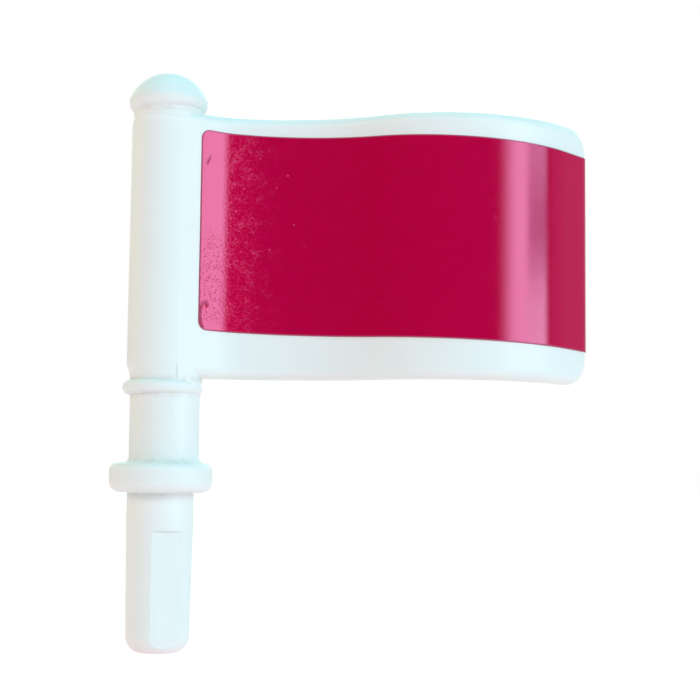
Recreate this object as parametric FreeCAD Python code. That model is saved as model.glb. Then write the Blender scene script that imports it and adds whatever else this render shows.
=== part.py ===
import FreeCAD, Part
import math
import os

# Plug-in toy flag: one plastic moulding (pole with domed head, bead, collar and plug peg, and a waved
# flag panel) and one thin vinyl label wrapped round the panel's free end.
# Millimetres. Origin on the peg's axis in the plane of the collar's underside, +Z up the pole, +X along
# the flag. The front, where the label starts close to the pole, looks along -Y.

# plug peg, from z = 0 down
peg_r = 4.5            # true cylinder next to the collar
peg_round_len = 5.0    # length of that cylinder
peg_end_r = 4.27       # radius where the tip rounding starts
peg_len = 21.2
peg_tip_round = 2.2
key_flat_depth = 0.45  # shallow flat below the cylinder
key_flat_turn = 20.0   # degrees the flat is turned from -Y towards +X

# collar
collar_r = 6.88
collar_h = 3.95
collar_low_round = 1.45
collar_top_round = 1.0

# barrel between collar and bead, moulded slightly off the peg's axis
barrel_r = 4.68
barrel_shift = 0.35
barrel_foot = 0.9      # radius of the flare on to the collar

# bead
bead_z = 14.1
bead_r = 5.38
bead_round = 1.0

# sleeve, neck and domed head
low_neck_r = 4.4
low_neck_z = 15.2
sleeve_r = 4.88
sleeve_low_z = 17.6
sleeve_top_z = 49.8
neck_r = 4.7
neck_z = 50.7
head_low_z = 51.9
rim_r = 5.34
rim_z = 53.15
dome_r = 5.66
dome_centre_z = 51.6
dome_foot_deg = 18.0   # angle above level where the dome meets the rim

# waved panel: the centre line seen from above is two tangent arcs and a straight tail
panel_t = 3.0
wave_start = (4.0, -0.6)
wave_start_deg = 22.6   # heading away from the pole, from +X towards +Y
wave_turn_deg = -27.7   # heading where the first bend hands over to the second
wave_end_deg = 47.5     # heading of the tail
bend1_r = 29.8
bend2_r = 20.0
tail_len = 6.0
panel_low_z = 15.4
panel_top_z = 51.4
panel_corner_r = 3.7
panel_edge_r = 1.35
front_lean_deg = 30.0   # heading of the flat that leaves the sleeve at the root of the front
front_blend_r = 8.0     # hollow blend from that flat into the front face
back_blend_r = 1.2
web_x = 5.1             # end of the short web that ties the panel's root to the bead
web_r = 5.36            # the web keeps inside this radius about the pole's axis

# label
label_t = 0.15
label_h = 27.3
label_top_z = 49.1      # height of the top edge at the pole end of the front
label_skew = 0.030      # drop per millimetre along the label
label_front_x = 4.98    # pole end on the front face
label_back_x = 7.0      # pole end on the back face
label_corner_r = 1.1


def xyz(x, y, z):
    return FreeCAD.Vector(x, y, z)


def line(p, q):
    return Part.LineSegment(p, q).toShape()


def arc(p, mid, q):
    return Part.Arc(p, mid, q).toShape()


# --- pole, collar and peg: turned profiles ---

def rz(r, z):
    return xyz(r, 0, z)


def profile_arc(cx, cz, r, deg_from, deg_to):
    """Arc about (cx, cz) in the radius-height plane, angles in degrees from outward to up."""
    angles = [math.radians(a) for a in (deg_from, (deg_from + deg_to) / 2.0, deg_to)]
    return arc(*[rz(cx + r * math.cos(a), cz + r * math.sin(a)) for a in angles])


def revolve(edges):
    """Turn a profile about Z; the profile runs from the axis back to the axis."""
    start, end = edges[0].firstVertex().Point, edges[-1].lastVertex().Point
    face = Part.Face(Part.Wire(edges + [line(end, start)]))
    return face.revolve(xyz(0, 0, 0), xyz(0, 0, 1), 360)


def make_peg():
    z_round = peg_tip_round - peg_len
    z_top = collar_h / 2
    flat_r = peg_end_r - peg_tip_round
    peg = revolve([
        line(rz(0, -peg_len), rz(flat_r, -peg_len)),
        profile_arc(flat_r, z_round, peg_tip_round, -90, 0),
        line(rz(peg_end_r, z_round), rz(peg_r, -peg_round_len)),
        line(rz(peg_r, -peg_round_len), rz(peg_r, z_top)),
        line(rz(peg_r, z_top), rz(0, z_top)),
    ])
    # key flat: a block taken off one side, square at its upper end and leaning with the peg's taper
    depth_y = key_flat_depth - peg_r
    block = Part.makeBox(12, 4, peg_len, xyz(-6, depth_y - 4, 0))
    taper = math.degrees(math.atan((peg_r - peg_end_r) / (peg_len - peg_round_len - peg_tip_round)))
    block.rotate(xyz(0, depth_y, peg_len), xyz(1, 0, 0), taper)
    block.translate(xyz(0, 0, -peg_round_len - peg_len))
    block.rotate(xyz(0, 0, 0), xyz(0, 0, 1), key_flat_turn)
    return peg.cut(block)


def make_collar():
    low, top = collar_low_round, collar_top_round
    return revolve([
        line(rz(0, 0), rz(collar_r - low, 0)),
        profile_arc(collar_r - low, low, low, -90, 0),
        line(rz(collar_r, low), rz(collar_r, collar_h - top)),
        profile_arc(collar_r - top, collar_h - top, top, 0, 90),
        line(rz(collar_r - top, collar_h), rz(0, collar_h)),
    ])


def make_barrel():
    foot_r = barrel_r + barrel_foot
    foot_z = collar_h - 0.05
    barrel = revolve([
        line(rz(0, collar_h / 2), rz(foot_r, collar_h / 2)),
        line(rz(foot_r, collar_h / 2), rz(foot_r, foot_z)),
        profile_arc(foot_r, foot_z + barrel_foot, barrel_foot, 270, 180),
        line(rz(barrel_r, foot_z + barrel_foot), rz(barrel_r, bead_z)),
        line(rz(barrel_r, bead_z), rz(0, bead_z)),
    ])
    barrel.translate(xyz(barrel_shift, 0, 0))
    return barrel


def make_upper_pole():
    """Bead, lower neck, sleeve, upper neck and domed head."""
    bead_axis_r = bead_r - bead_round
    # the sleeve's lower shoulder is an ogee: a hollow arc, then a full one
    mid_r, mid_z = (low_neck_r + sleeve_r) / 2, (low_neck_z + sleeve_low_z) / 2
    bulge = 0.06
    dome_top = dome_centre_z + dome_r
    dome_foot = math.radians(dome_foot_deg)
    foot = rz(dome_r * math.cos(dome_foot), dome_centre_z + dome_r * math.sin(dome_foot))
    return revolve([
        line(rz(0, bead_z - bead_round), rz(bead_axis_r, bead_z - bead_round)),
        profile_arc(bead_axis_r, bead_z, bead_round, -90, 90),
        line(rz(bead_axis_r, bead_z + bead_round), rz(low_neck_r, low_neck_z)),
        arc(rz(low_neck_r, low_neck_z),
            rz((low_neck_r + mid_r) / 2 - bulge, (low_neck_z + mid_z) / 2), rz(mid_r, mid_z)),
        arc(rz(mid_r, mid_z),
            rz((mid_r + sleeve_r) / 2 + bulge, (mid_z + sleeve_low_z) / 2), rz(sleeve_r, sleeve_low_z)),
        line(rz(sleeve_r, sleeve_low_z), rz(sleeve_r, sleeve_top_z)),
        arc(rz(sleeve_r, sleeve_top_z),
            rz((sleeve_r + neck_r) / 2 + 0.03, (sleeve_top_z + neck_z) / 2), rz(neck_r, neck_z)),
        line(rz(neck_r, neck_z), rz(neck_r, head_low_z)),
        arc(rz(neck_r, head_low_z),
            rz((neck_r + rim_r) / 2 + 0.08, (head_low_z + rim_z) / 2 - 0.2), rz(rim_r, rim_z)),
        line(rz(rim_r, rim_z), foot),
        profile_arc(0, dome_centre_z, dome_r, dome_foot_deg, 90),
    ])


def make_neck_fill(narrow_r, z_from, z_to):
    """Round core moved towards the flag: it fills a neck up on that side and leaves it whole on the other."""
    r = (narrow_r + sleeve_r) / 2 - 0.02
    return Part.makeCylinder(r, z_to - z_from, xyz((sleeve_r - narrow_r) / 2, 0, z_from))


# --- waved panel: plan geometry, then extrusion ---

a_start, a_turn, a_end = (math.radians(a) for a in (wave_start_deg, wave_turn_deg, wave_end_deg))
centre1 = xyz(wave_start[0] + bend1_r * math.sin(a_start), wave_start[1] - bend1_r * math.cos(a_start), 0)
centre2 = centre1 + xyz(-math.sin(a_turn), math.cos(a_turn), 0) * (bend1_r + bend2_r)


def bend1_pt(a, off):
    """Point beside the centre line where its heading is a; off is towards the back."""
    return centre1 + xyz(-math.sin(a), math.cos(a), 0) * (bend1_r + off)


def bend2_pt(a, off):
    return centre2 + xyz(math.sin(a), -math.cos(a), 0) * (bend2_r - off)


def tail_pt(s, off):
    return bend2_pt(a_end, off) + xyz(math.cos(a_end), math.sin(a_end), 0) * s


def bend_arc(point_at, a_from, a_to, off):
    return arc(point_at(a_from, off), point_at((a_from + a_to) / 2, off), point_at(a_to, off))


def wave_outline(off, s_end, a_front, a_back):
    """Edges of the panel's plan thickened to off each side: front, free end, back."""
    return [
        bend_arc(bend1_pt, a_front, a_turn, -off), bend_arc(bend2_pt, a_turn, a_end, -off),
        line(tail_pt(0, -off), tail_pt(s_end, -off)), line(tail_pt(s_end, -off), tail_pt(s_end, off)),
        line(tail_pt(s_end, off), tail_pt(0, off)),
        bend_arc(bend2_pt, a_end, a_turn, off), bend_arc(bend1_pt, a_turn, a_back, off),
    ]


def extrude_up(edges, z_from, z_to):
    face = Part.Face(Part.Wire(edges))
    face.translate(xyz(0, 0, z_from))
    return face.extrude(xyz(0, 0, z_to - z_from))


def front_root(skin=0.0):
    """Flat off the sleeve and hollow blend into the front face, skin outside them, and the end heading."""
    lean = math.radians(front_lean_deg)
    out, ahead = xyz(math.sin(lean), -math.cos(lean), 0), xyz(math.cos(lean), math.sin(lean), 0)
    r1, r2 = sleeve_r + front_blend_r, bend1_r - panel_t / 2 - front_blend_r
    run = centre1.dot(ahead) + math.sqrt(r2 ** 2 - (r1 - centre1.dot(out)) ** 2)
    centre = out * r1 + ahead * run
    to_face, r = (centre - centre1) / r2, front_blend_r - skin
    flat_end, way = centre - out * r, to_face - out
    blend = arc(flat_end, centre + way * (r / way.Length), centre + to_face * r)
    return [line(out * (sleeve_r + skin), flat_end), blend], math.atan2(-to_face.x, to_face.y)


def back_root():
    """Hollow blend from the sleeve into the back face, and the heading it ends at."""
    r = back_blend_r
    r1, r2 = sleeve_r + r, bend1_r + panel_t / 2 + r
    d = centre1.Length
    along = (d ** 2 + r1 ** 2 - r2 ** 2) / (2 * d)
    u = centre1 / d
    centre = u * along + xyz(-u.y, u.x, 0) * math.sqrt(r1 ** 2 - along ** 2)
    out = (centre - centre1) / r2
    ways = (centre / -r1, centre / -r1 - out, -out)
    return arc(*[centre + way * (r / way.Length) for way in ways]), math.atan2(-out.x, out.y)


def panel_plan():
    """Closed plan of the panel, its root inside the pole."""
    front, a_front = front_root()
    back, a_back = back_root()
    inside = xyz(1, 0, 0)
    pole_f, pole_b = front[0].firstVertex().Point, back.firstVertex().Point
    outline = [line(inside, pole_f)] + front + wave_outline(panel_t / 2, tail_len, a_front, a_back)
    outline += [back, line(pole_b, inside)]
    return [e for w in Part.sortEdges(outline) for e in w]


def make_root_web():
    """Web under the root of the panel, down to the widest part of the bead."""
    z_top = panel_low_z + panel_edge_r + 0.3
    h = z_top - bead_z
    post = Part.makeCylinder(web_r, h, xyz(0, 0, bead_z))
    limit = post.common(Part.makeBox(web_x, 12, h, xyz(0, -6, bead_z)))
    return extrude_up(panel_plan(), bead_z, z_top).common(limit)


def make_panel():
    body = extrude_up(panel_plan(), panel_low_z, panel_top_z)

    def beyond(e, s):
        """Whether an edge lies past a distance along the tail."""
        c = e.CenterOfMass - tail_pt(s, 0)
        return c.x * math.cos(a_end) + c.y * math.sin(a_end) > 0

    corners = [e for e in body.Edges if beyond(e, tail_len - 0.01) and abs(e.Length - panel_t) < 1e-6]
    body = body.makeFillet(panel_corner_r, corners)
    # round the long edges, the corners and the free end on both faces; leave the part inside the pole
    rim = []
    for e in body.Edges:
        zs = [v.Z for v in e.Vertexes]
        upright = max(zs) - min(zs) > 2 * panel_corner_r and not beyond(e, tail_len - 0.01)
        across = abs(e.Length - panel_t) < 1e-6
        hidden = min(math.hypot(v.X, v.Y) for v in e.Vertexes) < 1.5
        if not (upright or across or hidden):
            rim.append(e)
    return body.makeFillet(panel_edge_r, rim)


# --- label ---

def label_band(body):
    """Skin of label thickness round both faces and the free end of the panel."""
    off = panel_t / 2 + label_t
    s_end = tail_len + label_t
    front, a_front = front_root(label_t)
    outline = front + wave_outline(off, s_end, a_front, a_start)
    outline.append(line(bend1_pt(a_start, off), front[0].firstVertex().Point))
    slab = extrude_up(outline, label_top_z - label_h - 5, label_top_z + 1)
    ends = [tail_pt(s_end, -off), tail_pt(s_end, off)]
    upright = [e for e in slab.Edges
               if any(math.hypot(e.CenterOfMass.x - p.x, e.CenterOfMass.y - p.y) < 1e-4 for p in ends)]
    return slab.makeFillet(panel_edge_r + label_t, upright).cut(body)


def track(off):
    """Points along the label, off outside the panel: front, free end, back; the root's flat is left out."""
    h, r = panel_t / 2, panel_edge_r
    steps = [i / 9.0 for i in range(9)]
    pts = [bend1_pt(a_start + (a_turn - a_start) * k, -h - off) for k in steps]
    pts += [bend2_pt(a_turn + (a_end - a_turn) * k, -h - off) for k in steps]
    pts += [tail_pt((tail_len - r) * k, -h - off) for k in steps]
    for side, turned in ((-1, -math.pi / 2), (1, 0)):
        cap = tail_pt(tail_len - r, side * (h - r))
        angles = [a_end + turned + math.pi / 2 * k for k in steps]
        pts += [cap + xyz(math.cos(a), math.sin(a), 0) * (r + off) for a in angles]
    pts += [tail_pt((tail_len - r) * (1 - k), h + off) for k in steps]
    pts += [bend2_pt(a_end + (a_turn - a_end) * k, h + off) for k in steps]
    return pts + [bend1_pt(a_turn + (a_start - a_turn) * k, h + off) for k in steps + [1.0]]


def running_length(points):
    run = [0.0]
    for p, q in zip(points, points[1:]):
        run.append(run[-1] + (q - p).Length)
    return run


def skew_cutter(z_start, lift):
    """Block with one side that falls steadily along the label; it trims a long edge of the label."""
    run = running_length(track(0.0))
    curves = []
    for off in (-0.3, 1.6):
        pts = [xyz(p.x, p.y, z_start - label_skew * s) for p, s in zip(track(off), run)]
        curve = Part.BSplineCurve()
        curve.interpolate(Points=pts, Parameters=run)
        curves.append(curve.toShape())
    return Part.makeRuledSurface(curves[0], curves[1], 1).extrude(xyz(0, 0, lift))


def corner_block(x_end, z_edge, up, y_from, y_to):
    """Block that rounds one corner of the label; up is +1 at its top edge and -1 at its bottom edge."""
    r = label_corner_r
    z_edge += up * 0.01   # the arc crosses the edge cleanly instead of grazing it
    x_in, z_in, z_far = x_end + r, z_edge - up * r, z_edge + up
    mid = math.sqrt(0.5) * r
    corners = [(x_in, z_edge), (x_in, z_far), (x_end - 1, z_far), (x_end - 1, z_in), (x_end, z_in)]
    pts = [xyz(x, y_from, z) for x, z in corners]
    edges = [line(p, q) for p, q in zip(pts, pts[1:])]
    edges.append(arc(pts[-1], xyz(x_in - mid, y_from, z_in + up * mid), pts[0]))
    return Part.Face(Part.Wire(edges)).extrude(xyz(0, y_to - y_from, 0))


def make_label(body):
    label = label_band(body)
    label = label.cut(skew_cutter(label_top_z, 10)).cut(skew_cutter(label_top_z - label_h, -10))
    middle = track(0.0)
    length = running_length(middle)[-1]
    trims = []
    for x_end, y_from, y_to, is_front in ((label_front_x, -10, 0, True), (label_back_x, 0, 10, False)):
        trims.append(Part.makeBox(20, y_to - y_from, 60, xyz(x_end - 20, y_from, 0)))
        root_x = middle[0].x if is_front else middle[-1].x
        from_root = (x_end + label_corner_r - root_x) / math.cos(a_start)
        run = from_root if is_front else length - from_root
        top = label_top_z - label_skew * run
        trims.append(corner_block(x_end, top, 1, y_from, y_to))
        trims.append(corner_block(x_end, top - label_h, -1, y_from, y_to))
    return label.cut(trims).Solids[0]


if __name__ == "__main__":
    low_fill = make_neck_fill(low_neck_r, bead_z, sleeve_low_z + 0.5)
    top_fill = make_neck_fill(neck_r, sleeve_top_z - 0.5, head_low_z + 0.6)
    moulding = make_upper_pole().fuse([
        make_barrel(), make_collar(), make_peg(), make_panel(), make_root_web(), low_fill, top_fill])
    moulding = moulding.removeSplitter().Solids[0]
    os.makedirs("parts", exist_ok=True)
    moulding.exportStep("parts/flag_moulding.step")
    make_label(moulding).exportStep("parts/wrap_label.step")
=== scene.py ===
import bisect
import bpy
import math
from mathutils import Matrix, Vector


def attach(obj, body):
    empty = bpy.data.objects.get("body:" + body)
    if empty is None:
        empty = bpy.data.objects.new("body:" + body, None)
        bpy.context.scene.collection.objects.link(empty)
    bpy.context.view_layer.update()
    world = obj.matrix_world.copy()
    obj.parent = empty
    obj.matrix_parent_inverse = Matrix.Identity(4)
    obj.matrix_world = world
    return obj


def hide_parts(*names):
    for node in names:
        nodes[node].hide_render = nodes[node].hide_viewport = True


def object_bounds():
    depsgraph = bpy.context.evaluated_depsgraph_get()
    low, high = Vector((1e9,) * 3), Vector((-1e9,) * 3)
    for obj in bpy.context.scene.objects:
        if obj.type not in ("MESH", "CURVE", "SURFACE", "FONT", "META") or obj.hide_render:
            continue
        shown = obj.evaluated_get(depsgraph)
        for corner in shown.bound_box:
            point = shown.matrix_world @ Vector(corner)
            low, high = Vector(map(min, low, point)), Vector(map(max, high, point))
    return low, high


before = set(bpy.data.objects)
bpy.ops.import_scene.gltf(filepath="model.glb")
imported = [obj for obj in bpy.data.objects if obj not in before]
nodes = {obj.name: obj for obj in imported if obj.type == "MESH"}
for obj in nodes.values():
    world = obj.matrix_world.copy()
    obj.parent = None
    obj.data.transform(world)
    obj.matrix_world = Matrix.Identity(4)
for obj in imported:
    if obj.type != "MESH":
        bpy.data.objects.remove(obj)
cad_low, cad_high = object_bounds()
scene = bpy.context.scene
scene.view_settings.view_transform = "Standard"


# --- camera ---

CAMERA_AT = (0.025273, -0.209196, 0.001033)
CAMERA_PITCH, CAMERA_ROLL = 0.0882, 0.0113  # radians
SENSOR_WIDTH, LENS = 36.0, 79.714           # millimetres


def make_camera():
    ahead = Vector((0, math.cos(CAMERA_PITCH), math.sin(CAMERA_PITCH)))
    side = Vector((1, 0, 0))
    over = side.cross(ahead)
    right = side * math.cos(CAMERA_ROLL) + over * math.sin(CAMERA_ROLL)
    up = over * math.cos(CAMERA_ROLL) - side * math.sin(CAMERA_ROLL)
    data = bpy.data.cameras.new("camera")
    data.sensor_width, data.lens = SENSOR_WIDTH, LENS
    data.clip_start, data.clip_end = 0.01, 20
    cam = bpy.data.objects.new("camera", data)
    scene.collection.objects.link(cam)
    turn = Matrix((right, up, -ahead)).transposed().to_4x4()
    cam.matrix_world = Matrix.Translation(CAMERA_AT) @ turn
    scene.camera = cam


# --- small node helper ---

class Tree:
    """Adds shader nodes: an input is set by its name, or by its number as i0, i1 and so on."""

    def __init__(self, owner):
        owner.use_nodes = True
        self.tree = owner.node_tree
        self.tree.nodes.clear()

    def add(self, kind, out=0, props=None, **inputs):
        node = self.tree.nodes.new(kind)
        for name, value in (props or {}).items():
            setattr(node, name, value)
        for name, value in inputs.items():
            key = int(name[1:]) if name[0] == "i" and name[1:].isdigit() else name.replace("_", " ")
            socket = node.inputs[key]
            if isinstance(value, bpy.types.NodeSocket):
                self.tree.links.new(value, socket)
            else:
                socket.default_value = value
        return node.outputs[out] if out is not None else node

    def math(self, op, a, b=0.0, c=0.0):
        return self.add("ShaderNodeMath", props={"operation": op}, i0=a, i1=b, i2=c)

    def step(self, value, low, high):
        """0 at low, 1 at high, smooth between; low may be the greater of the two."""
        return self.add("ShaderNodeMapRange", "Result", {"interpolation_type": "SMOOTHSTEP"},
                        Value=value, From_Min=low, From_Max=high)

    def scaled(self, colour, by):
        return self.add("ShaderNodeVectorMath", props={"operation": "SCALE"}, i0=colour, Scale=by)

    def plus(self, a, b):
        return self.add("ShaderNodeVectorMath", props={"operation": "ADD"}, i0=a, i1=b)

    def times(self, *values):
        total = values[0]
        for value in values[1:]:
            total = self.math("MULTIPLY", total, value)
        return total

    def total(self, base, *shares):
        """base plus each value times its amount."""
        for value, amount in shares:
            base = self.math("MULTIPLY_ADD", value, amount, base)
        return base

    def split(self, vector):
        return self.add("ShaderNodeSeparateXYZ", None, Vector=vector).outputs

    def stretched(self, vector, x, y, z):
        return self.add("ShaderNodeVectorMath", props={"operation": "MULTIPLY"}, i0=vector, i1=(x, y, z))

    def noise(self, at, scale, detail=2.0, distortion=0.0):
        return self.add("ShaderNodeTexNoise", Vector=at, Scale=scale, Detail=detail, Distortion=distortion)

    def dots(self, at, scale, radius, share):
        """1 in round dots of a radius, in a share of the cells whose count per unit length is scale."""
        cells = self.add("ShaderNodeTexVoronoi", None, Vector=at, Scale=scale)
        chosen = self.math("LESS_THAN", self.split(cells.outputs["Color"])[0], share)
        dot = self.step(cells.outputs["Distance"], radius * scale, radius * scale * 0.35)
        return self.times(dot, chosen)

    def near(self, value, middle, reach):
        """1 close to middle, 0 further from it than reach."""
        return self.step(self.math("ABSOLUTE", self.math("SUBTRACT", value, middle)), reach, reach * 0.3)

    def mix(self, share, a, b):
        return self.add("ShaderNodeMix", 2, props={"data_type": "RGBA"}, i0=share, i6=a, i7=b)

    def finish(self, colour, roughness, height, **more):
        """Principled surface; height is in millimetres."""
        bump = self.add("ShaderNodeBump", Height=height, Distance=0.001)
        surface = self.add("ShaderNodeBsdfPrincipled", Base_Color=colour, Roughness=roughness,
                           Normal=bump, **more)
        self.add("ShaderNodeOutputMaterial", None, Surface=surface)


def rgba(r, g, b):
    return (r, g, b, 1.0)


make_camera()


# --- floor and studio light ---

# The floor's colour and glow: as the camera sees it, and as it lights the flag.
FLOOR_HALF = 6.0
FLOOR_PALE, FLOOR_SHEEN = (0.9, 0.9, 0.9), (0.5, 0.5, 0.5)
FLOOR_BOUNCE, FLOOR_GLOW = (0.42, 0.38, 0.34), (0.74, 0.55, 0.61)

# Soft boxes of light far round the flag. Each ramp is in degrees: azimuth from -Y towards +X where the
# box starts and stops, elevation where it starts and stops; then its radiance.
BOXES = (
    ((38, 56), (60, 68), (-5, -1), (16, 22), (3.6, 3.96, 4.31)),         # side window, near part
    ((60, 68), (79, 85), (10.2, 11.6), (16, 22), (1.61, 2.42, 2.69)),    # side window, upper pane
    ((60, 68), (79, 85), (7.4, 8.6), (10.2, 11.6), (0.08, 0.84, 1.12)),  # side window, bar
    ((60, 68), (79, 85), (-5, -1), (7.4, 8.6), (3.36, 4.3, 4.54)),       # side window, lower pane
    ((-80, -60), (0, 30), (18, 24), (36, 48), (2.56, 2.08, 2.07)),       # front, high
    ((0, 30), (60, 80), (18, 24), (36, 48), (2.04, 3.29, 3.71)),         # front right, high
    ((60, 80), (110, 130), (18, 24), (36, 50), (0.1, 0.8, 0.86)),        # right, high
    ((-135, -115), (-72, -62), (0, 10), (36, 50), (1.32, 0.88, 0.3)),    # left, warm
    ((85, 90), (120, 140), (-5, 0), (16, 22), (0.46, 0.15, 0.24)),       # right, low
    ((115, 150), (190, 200), (0, 16), (26, 55), (0.9, 0.9, 0.9)),        # behind
    ((-200, -190), (-160, -120), (0, 16), (26, 55), (0.9, 0.9, 0.9)),    # behind, left
)
# Light from overhead, growing with the elevation, and from behind, growing with the azimuth either way.
CEILING, CEILING_RAMP = (0.1, 1.0, 1.1), (45, 75)
BACK, BACK_RAMP = (0.4, 0.55, 0.5), (85, 150)


def make_floor():
    """Pale floor under the peg, bright to the camera; it lights the flag less than it shows."""
    mesh = bpy.data.meshes.new("floor")
    corners = [(x * FLOOR_HALF, y * FLOOR_HALF, cad_low.z) for x, y in ((-1, -1), (1, -1), (1, 1), (-1, 1))]
    mesh.from_pydata(corners, [], [(0, 1, 2, 3)])
    floor = bpy.data.objects.new("floor", mesh)
    scene.collection.objects.link(floor)
    mat = bpy.data.materials.new("pale_floor")
    t = Tree(mat)

    def glowing(colour, glow):
        return t.add("ShaderNodeAddShader", i0=t.add("ShaderNodeBsdfDiffuse", Color=rgba(*colour)),
                     i1=t.add("ShaderNodeEmission", Color=rgba(*glow)))

    both = t.add("ShaderNodeMixShader", i0=t.add("ShaderNodeLightPath"),
                 i1=glowing(FLOOR_BOUNCE, FLOOR_GLOW), i2=glowing(FLOOR_PALE, FLOOR_SHEEN))
    t.add("ShaderNodeOutputMaterial", None, Surface=both)
    mesh.materials.append(mat)


def make_world():
    """The studio's light; the camera itself sees plain white."""
    world = bpy.data.worlds.new("studio")
    scene.world = world
    t = Tree(world)
    x, y, z = t.split(t.add("ShaderNodeTexCoord"))
    azimuth = t.math("DEGREES", t.math("ARCTAN2", x, t.math("MULTIPLY", y, -1)))
    elevation = t.math("DEGREES", t.math("ARCSINE", z))
    total = t.scaled(CEILING, t.step(elevation, *CEILING_RAMP))
    total = t.plus(total, t.scaled(BACK, t.step(t.math("ABSOLUTE", azimuth), *BACK_RAMP)))
    for left, right, low, top, radiance in BOXES:
        across = t.times(t.step(azimuth, *left), t.step(azimuth, *reversed(right)))
        upright = t.times(t.step(elevation, *low), t.step(elevation, *reversed(top)))
        total = t.plus(total, t.scaled(radiance, t.times(across, upright)))
    both = t.add("ShaderNodeMixShader", i0=t.add("ShaderNodeLightPath"),
                 i1=t.add("ShaderNodeBackground", Color=total),
                 i2=t.add("ShaderNodeBackground", Color=rgba(1, 1, 1)))
    t.add("ShaderNodeOutputWorld", None, Surface=both)


make_floor()
make_world()


# --- label: its path round the panel seen from above, in millimetres as in the CAD ---

PANEL_T, SLEEVE_R, BLEND_R, EDGE_R, TAIL = 3.0, 4.88, 8.0, 1.35, 6.0
WAVE_START, BEND1_R, BEND2_R = Vector((4.0, -0.6)), 29.8, 20.0
# headings of the centre line where the bends start, meet and end, and of the flat at the front's root
A_START, A_TURN, A_END, A_ROOT = (math.radians(a) for a in (22.6, -27.7, 47.5, 30.0))
# height of the top edge at the front's pole end; the skew is its drop per millimetre along the label
LABEL_T, LABEL_H, LABEL_TOP, LABEL_SKEW, CORNER_R = 0.15, 27.3, 49.1, 0.030, 1.2
FRONT_X, BACK_X = 4.98, 7.0  # where the label ends on the front and on the back
EDGE_ROUND = 0.05            # rounding of its cut edge


def facing(a):
    """Direction out of the front face where the panel's heading is a."""
    return Vector((math.sin(a), -math.cos(a)))


def label_path(step=0.05):
    """Points on the panel's skin along the label, each with its outward direction and the distance so far.

    Also the distance that its edges have already dropped over at the first point.
    """
    half = PANEL_T / 2
    c1 = WAVE_START + facing(A_START) * BEND1_R
    c2 = c1 - facing(A_TURN) * (BEND1_R + BEND2_R)
    # the front's root: a flat that leaves the sleeve, then a hollow blend into the first bend
    root_out, root_ahead = facing(A_ROOT), Vector((math.cos(A_ROOT), math.sin(A_ROOT)))
    r1, r2 = SLEEVE_R + BLEND_R, BEND1_R - half - BLEND_R
    run_on = c1.dot(root_ahead) + math.sqrt(r2 ** 2 - (r1 - c1.dot(root_out)) ** 2)
    blend = root_out * r1 + root_ahead * run_on
    a_front = math.atan2(c1.x - blend.x, blend.y - c1.y)
    first = (FRONT_X - root_out.x * (SLEEVE_R + LABEL_T)) / root_ahead.x
    a_last = math.asin((c1.x - BACK_X) / (BEND1_R + half + LABEL_T))
    ahead, tip = Vector((math.cos(A_END), math.sin(A_END))), TAIL - EDGE_R

    def tail(s, off):
        return c2 + facing(A_END) * (BEND2_R - off) + ahead * s

    def swept(centre, r, a, b, sign=1):
        """Arc over the headings a to b; r is negative where it bulges outward, away from its centre."""
        def at(k):
            out = facing(a + (b - a) * k) * sign
            return centre - out * r, out
        return at, abs(r * (b - a))

    def straight(p, q, out):
        return lambda k: (p.lerp(q, k), out), (q - p).length

    inset, quarter = half - EDGE_R, math.pi / 2
    parts = [
        straight(root_out * SLEEVE_R + root_ahead * first, blend - root_out * BLEND_R, root_out),
        swept(blend, BLEND_R, A_ROOT, a_front),
        swept(c1, BEND1_R - half, a_front, A_TURN),
        swept(c2, -BEND2_R - half, A_TURN, A_END),
        straight(tail(0, -half), tail(tip, -half), facing(A_END)),
        swept(tail(tip, -inset), -EDGE_R, A_END, A_END + quarter),
        straight(tail(TAIL, -inset), tail(TAIL, inset), ahead),
        swept(tail(tip, inset), -EDGE_R, A_END + quarter, A_END + 2 * quarter),
        straight(tail(tip, half), tail(0, half), -facing(A_END)),
        swept(c2, BEND2_R - half, A_END, A_TURN, -1),
        swept(c1, -BEND1_R - half, A_TURN, a_last, -1),
    ]
    points, run = [], 0.0
    for number, (at, length) in enumerate(parts):
        count = math.ceil(length / step)
        for i in range(count + (number == len(parts) - 1)):
            place, out = at(i / count)
            if points:
                run += (place - points[-1][0]).length
            points.append((place, out, run))
    # the edges' drop is counted along the first bend's own curve, which runs on inside the blend
    start = points[0][0] - c1
    lead = (BEND1_R - half) * (A_START - math.atan2(-start.x, start.y))
    return points, lead


# Distances from the cut edge where the mesh has a line of vertices: at every side, and further in at the far
# end and at the top.
EDGE_MARKS, INNER_MARKS = (0.0, 0.015, EDGE_ROUND), (0.21, 0.13)


def with_far_marks(marks, total):
    return marks + [total - d for d in INNER_MARKS + EDGE_MARKS[::-1]]


def label_columns(points):
    """Distance run along the label's outside at each point, and the distances of the mesh's columns."""
    run = [0.0]
    for (p, out_p, _), (q, out_q, _) in zip(points, points[1:]):
        run.append(run[-1] + ((q + out_q * LABEL_T) - (p + out_p * LABEL_T)).length)
    total = run[-1]
    marks, s = list(EDGE_MARKS), EDGE_ROUND
    fine, middling, coarse, last_gap = 0.08, 0.18, 0.42, 0.5
    while s < total - last_gap:
        # fine over the fold and the dent, middling beyond them and near the far end
        s += fine if s < 2.2 else middling if s < 6 or total - s < 2 else coarse
        marks.append(s)
    return run, with_far_marks(marks, total)


def label_rows():
    """Shares of the label's height where the mesh has a row, closer together near the lower edge."""
    fine, fine_count, coarse_count, top_gap = 0.1, 49, 80, 0.4
    turn = fine * fine_count
    low = list(EDGE_MARKS) + [fine * i for i in range(1, fine_count + 1)]
    high = [turn + (LABEL_H - turn - top_gap) * i / coarse_count for i in range(1, coarse_count + 1)]
    return [w / LABEL_H for w in with_far_marks(low + high, LABEL_H)]


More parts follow.
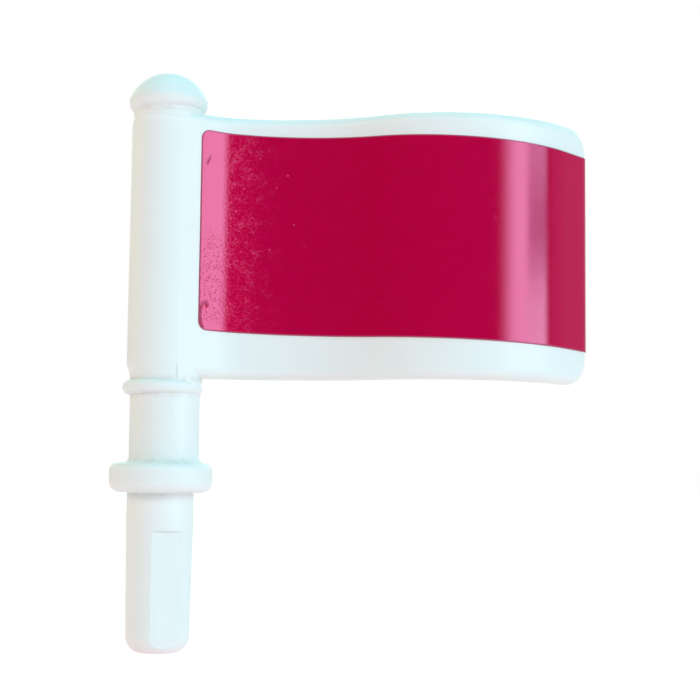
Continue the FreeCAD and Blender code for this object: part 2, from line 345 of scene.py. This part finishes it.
def corner_inset(d):
    """How far a rounded corner takes the long edges in, at a distance from the label's end."""
    return CORNER_R - math.sqrt(max(CORNER_R ** 2 - (CORNER_R - d) ** 2, 0.0)) if d < CORNER_R else 0.0


def to_cut_edge(s, w, total):
    """Distance in the flat label from (s, w) to its cut edge, whose corners are rounded."""
    x = abs(s - total / 2) - total / 2 + CORNER_R
    y = abs(w - LABEL_H / 2) - LABEL_H / 2 + CORNER_R
    return max(0.0, CORNER_R - math.hypot(max(x, 0.0), max(y, 0.0)) - min(max(x, y), 0.0))


def distance_to(path, s, w):
    """Distance in the flat label from (s, w) to a broken line."""
    best, here = 1e9, Vector((s, w))
    for p, q in zip(path, path[1:]):
        p, q = Vector(p), Vector(q)
        k = max(0.0, min(1.0, (here - p).dot(q - p) / (q - p).length_squared))
        best = min(best, (p.lerp(q, k) - here).length)
    return best


# Marks on the flat label, in millimetres along it and up it from its lower corner by the pole on the front.
FOLDS = (((0.03, 3.3), (0.45, 3.4), (0.8, 3.78), (1.12, 3.74), (1.27, 3.45), (1.15, 3.25)),
         ((0.42, 3.35), (0.27, 2.75), (0.2, 1.8), (0.33, 0.85), (0.6, 0.35)))
DENT = ((0.78, 22.75), (1.0, 23.3), (1.2, 23.6))
CREASED_TO = 3.0  # the folds and the dent all lie closer to the label's start than this
# height or depth, half width, and half width of the line of painted shade that it draws
FOLD_LIFT, FOLD_HALF, FOLD_SHADE = 0.07, 0.14, 0.17
DENT_DEPTH, DENT_HALF, DENT_SHADE = 0.04, 0.13, 0.15
# each blister's place, radius and height
BLISTERS = ((40.6, 16.4, 0.45, 0.05), (6.4, 26.5, 0.32, 0.04), (2.5, 16.6, 0.2, 0.03),
            (10.1, 17.9, 0.28, 0.03), (9.0, 17.7, 0.2, 0.025), (14.2, 22.6, 0.24, 0.025),
            (71.0, 7.5, 0.5, 0.05), (88.0, 19.0, 0.4, 0.04), (101.5, 11.0, 0.45, 0.045))


def relief(s, w):
    """Height of the label above its even thickness, and how strongly the painted shade of its folds and dent
    darkens it there.
    """
    lift, crease_shade = 0.0, 0.0
    if s < CREASED_TO:
        fold, dent = min(distance_to(path, s, w) for path in FOLDS), distance_to(DENT, s, w)
        crease_shade = max(0.0, 1 - fold / FOLD_SHADE, 1 - dent / DENT_SHADE)
        raised = FOLD_LIFT * math.exp(-(fold / FOLD_HALF) ** 2)
        lift = raised - DENT_DEPTH * math.exp(-(dent / DENT_HALF) ** 2)
    for s0, w0, r, h in BLISTERS:
        q = ((s - s0) ** 2 + (w - w0) ** 2) / r ** 2
        lift += h * (1 - q) ** 2 if q < 1 else 0.0
    return lift, crease_shade


def along(points, run, s):
    """Place and outward direction where the label's outside has run s, and the distance along the skin."""
    j = min(bisect.bisect_left(run, s - 1e-9, 1), len(run) - 1) - 1
    k = (s - run[j]) / (run[j + 1] - run[j])
    (p, out_p, skin_p), (q, out_q, skin_q) = points[j], points[j + 1]
    return p.lerp(q, k), out_p.lerp(out_q, k).normalized(), skin_p + (skin_q - skin_p) * k


def label_vertices(points, lead):
    """The label's outer skin, then its inner one, column by column from the front's pole end.

    Each vertex has its place, its place on the flat label, its painted crease shade and its distance from
    the cut edge.
    """
    run, columns = label_columns(points)
    rows, total = label_rows(), columns[-1]
    found = []
    for is_outer in (True, False):
        for s in columns:
            place, out, skin = along(points, run, s)
            inset = corner_inset(min(s, total - s))
            base = LABEL_TOP - LABEL_H - LABEL_SKEW * (lead + skin)
            for share in rows:
                w = inset + (LABEL_H - 2 * inset) * share
                rim = to_cut_edge(s, w, total)
                lift, crease_shade = relief(s, w) if is_outer else (0.0, 0.0)
                if is_outer:
                    short = max(0.0, EDGE_ROUND - rim)
                    lift += LABEL_T - EDGE_ROUND + math.sqrt(EDGE_ROUND ** 2 - short ** 2)
                at = place + out * lift
                found.append(((at.x / 1000, at.y / 1000, (base + w) / 1000), (s, w), crease_shade, rim))
    return found, len(columns), len(rows), total


def label_faces(n, m):
    """Quads of both skins, each n columns of m vertices, and of the cut edge that joins them."""
    faces = []
    for i in range(n - 1):
        for r in range(m - 1):
            a = i * m + r
            faces.append((a, a + m, a + m + 1, a + 1))
            b = a + n * m
            faces.append((b, b + 1, b + m + 1, b + m))
    ring = [i * m for i in range(n)] + [(n - 1) * m + r for r in range(1, m)]
    ring += [i * m + m - 1 for i in range(n - 2, -1, -1)] + list(range(m - 2, 0, -1))
    for a, b in zip(ring, ring[1:] + ring[:1]):
        faces.append((b, a, a + n * m, b + n * m))
    return faces


def make_label():
    found, n, m, total = label_vertices(*label_path())
    places, flat, crease_shades, rims = zip(*found)
    mesh = bpy.data.meshes.new("label_film")
    mesh.from_pydata(places, [], label_faces(n, m))
    mesh.update()
    uv = mesh.uv_layers.new(name="flat")
    index = [0] * len(mesh.loops)
    mesh.loops.foreach_get("vertex_index", index)
    uv.data.foreach_set("uv", [c for v in index for c in flat[v]])
    mesh.attributes.new("crease_shade", "FLOAT", "POINT").data.foreach_set("value", crease_shades)
    mesh.attributes.new("rim", "FLOAT", "POINT").data.foreach_set("value", rims)
    mesh.shade_smooth()
    mesh.set_sharp_from_angle(angle=math.radians(50))
    label = bpy.data.objects.new("label_film", mesh)
    scene.collection.objects.link(label)
    return label, total


# --- materials ---

# Heights in millimetres of the peg's end, the dome's foot, and the pole's inner corners; each corner is
# followed by how far the painted shade and grime reach from it.
PEG_END_Z, DOME_FOOT_Z = -21.2, 53.3
INNER_CORNERS = ((4.1, 0.8), (13.0, 0.6), (15.2, 0.5), (-0.1, 0.5), (51.7, 0.6))
WHITE_LOW, WHITE_HIGH = (0.76, 0.85, 0.835), (0.79, 0.885, 0.88)
CRIMSON_LOW, CRIMSON_HIGH = (0.445, 0.0002, 0.045), (0.525, 0.0004, 0.061)


def white_plastic():
    """Satin white plastic, handled: mottling, rub marks, pinholes, painted shade and grime in the corners
    and a mould line.
    """
    mat = bpy.data.materials.new("white_plastic")
    t = Tree(mat)
    mm = t.scaled(t.add("ShaderNodeTexCoord", "Object"), 1000)
    x, y, z = t.split(mm)
    radius = t.math("SQRT", t.math("ADD", t.times(x, x), t.times(y, y)))
    on_pole = t.step(radius, 6.4, 5.7)
    corners = t.total(0.0, *[(t.near(z, at, reach), 1.0) for at, reach in INNER_CORNERS])
    # painted shade and grime: a mask by the pole's inner corners that darkens the colour and roughens the
    # surface
    painted_shade_and_grime = t.times(corners, on_pole, t.step(t.noise(mm, 0.9, 3), 0.3, 0.75))
    along_pole = t.step(t.noise(t.stretched(mm, 4.5, 4.5, 0.22), 1, 3), 0.6, 0.7)
    rubbed = t.times(along_pole, on_pole, t.step(z, 6, -2))
    across = t.step(t.noise(t.stretched(mm, 0.35, 0.35, 5.0), 1, 4, 0.4), 0.64, 0.72)
    scuffed = t.times(across, t.step(t.noise(mm, 0.16, 2), 0.5, 0.62))
    pinholes = t.dots(mm, 0.42, 0.1, 0.4)
    seam_side = t.math("MAXIMUM", t.step(x, -2.5, -3.4), t.step(z, DOME_FOOT_Z, DOME_FOOT_Z + 0.3))
    seam = t.times(t.near(y, 0.0, 0.1), seam_side)
    gate = t.times(t.step(radius, 1.15, 0.95), t.step(z, PEG_END_Z, PEG_END_Z - 0.15))
    colour = t.mix(t.noise(mm, 0.13, 3), rgba(*WHITE_LOW), rgba(*WHITE_HIGH))
    # painted shade: the pole's inner corners darkened to warm grey, where shade falls under the ledges
    colour = t.mix(t.times(painted_shade_and_grime, 0.28), colour, rgba(0.52, 0.48, 0.42))
    colour = t.mix(t.times(pinholes, 0.35), colour, rgba(0.4, 0.37, 0.34))
    colour = t.mix(t.times(t.math("MAXIMUM", rubbed, scuffed), 0.09), colour, rgba(0.6, 0.6, 0.62))
    # nowhere glossier than this: the denoiser treats smoother spots apart, and they would show as patches
    roughness = t.total(0.29, (t.noise(mm, 0.4, 4), 0.13), (rubbed, 0.1), (scuffed, 0.09), (painted_shade_and_grime, 0.18))
    height = t.total(0.0, (t.noise(mm, 3.2, 2), 0.0022), (t.noise(mm, 0.3, 1), 0.014), (rubbed, -0.003),
                     (scuffed, -0.002), (pinholes, -0.03), (seam, 0.035), (gate, 0.1))
    t.finish(colour, roughness, height)
    return mat


def crimson_vinyl():
    """Glossy film laid out on the flat label: wrinkles and bubbles by the pole with painted glints and
    sheen, specks, painted shade along the folds, a dull cut edge darkened partly by painted shade.
    """
    mat = bpy.data.materials.new("crimson_vinyl")
    t = Tree(mat)
    flat = t.add("ShaderNodeUVMap", props={"uv_map": "flat"})
    s, w, _ = t.split(flat)
    crease_shade_mask = t.add("ShaderNodeAttribute", "Fac", props={"attribute_name": "crease_shade"})
    rim = t.add("ShaderNodeAttribute", "Fac", props={"attribute_name": "rim"})
    cut_edge_and_shade = t.step(rim, 0.21, 0.1)
    wrinkled = t.times(t.step(s, 14, 6), t.step(s, 2.8, 3.8))
    mottled = t.times(t.step(s, 4.2, 3.0), t.step(w, 15, 11), t.step(w, 0.6, 1.6))
    patches = t.step(t.noise(flat, 0.5, 1), 0.44, 0.62)
    wave = t.math("ABSOLUTE", t.math("SUBTRACT", t.noise(flat, 1.05, 1.5, 1.3), 0.5))
    squiggles = t.times(t.step(wave, 0.035, 0.0), patches, wrinkled)
    grains = t.noise(flat, 2.6, 1)
    pebbles = t.times(t.step(grains, 0.42, 0.68), t.step(s, 11, 5), t.step(s, 2.8, 3.6))
    bubbles = t.times(t.dots(flat, 0.85, 0.14, 0.45), t.step(s, 22, 12), t.step(s, 2.5, 3.5))
    specks = t.dots(flat, 0.2, 0.16, 0.5)
    stipple = t.times(t.step(t.noise(flat, 3.1, 1, 0.6), 0.56, 0.68), mottled)
    scratches = t.step(t.noise(t.stretched(flat, 0.22, 4.5, 0), 1, 4, 0.3), 0.66, 0.73)
    colour = t.mix(t.noise(flat, 0.7, 4), rgba(*CRIMSON_LOW), rgba(*CRIMSON_HIGH))
    # painted sheen: the crimson made lighter over the first 4 to 9 mm from the pole end
    colour = t.mix(t.times(t.step(s, 9, 4), 0.3), colour, rgba(0.7, 0.003, 0.07))
    # painted glints: the grains, wrinkles and bubbles made lighter in colour, besides their bumps
    colour = t.mix(t.times(pebbles, 0.45), colour, rgba(0.76, 0.015, 0.12))
    colour = t.mix(t.times(t.math("MAXIMUM", squiggles, bubbles), 0.5), colour, rgba(0.78, 0.02, 0.13))
    colour = t.mix(t.total(0.0, (specks, 0.55), (stipple, 0.25)), colour, rgba(0.2, 0.002, 0.03))
    # painted shade: dark lines along the folds and the dent
    colour = t.mix(t.times(crease_shade_mask, 0.9), colour, rgba(0.2, 0.0, 0.02))
    # cut edge: the film's own duller edge, darkened partly by painted shade along it
    colour = t.mix(t.times(cut_edge_and_shade, 0.9), colour, rgba(0.33, 0.045, 0.09))
    roughness = t.total(0.09, (t.noise(flat, 0.5, 4), 0.07), (scratches, 0.09), (pebbles, 0.05), (cut_edge_and_shade, 0.3),
                        (crease_shade_mask, 0.25))
    height = t.total(0.0, (t.noise(flat, 0.3, 1), 0.005), (squiggles, 0.006), (pebbles, 0.006),
                     (bubbles, 0.016), (specks, 0.014), (stipple, -0.014), (scratches, -0.0012))
    t.finish(colour, roughness, height, IOR=1.6, Specular_IOR_Level=1.0, Specular_Tint=rgba(1.0, 0.46, 0.77))
    return mat


def paint(name, mat):
    for slot in nodes[name].material_slots:
        slot.material = mat


paint("flag_moulding", white_plastic())
label, label_length = make_label()
label.data.materials.append(crimson_vinyl())
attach(label, "root")
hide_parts("wrap_label")
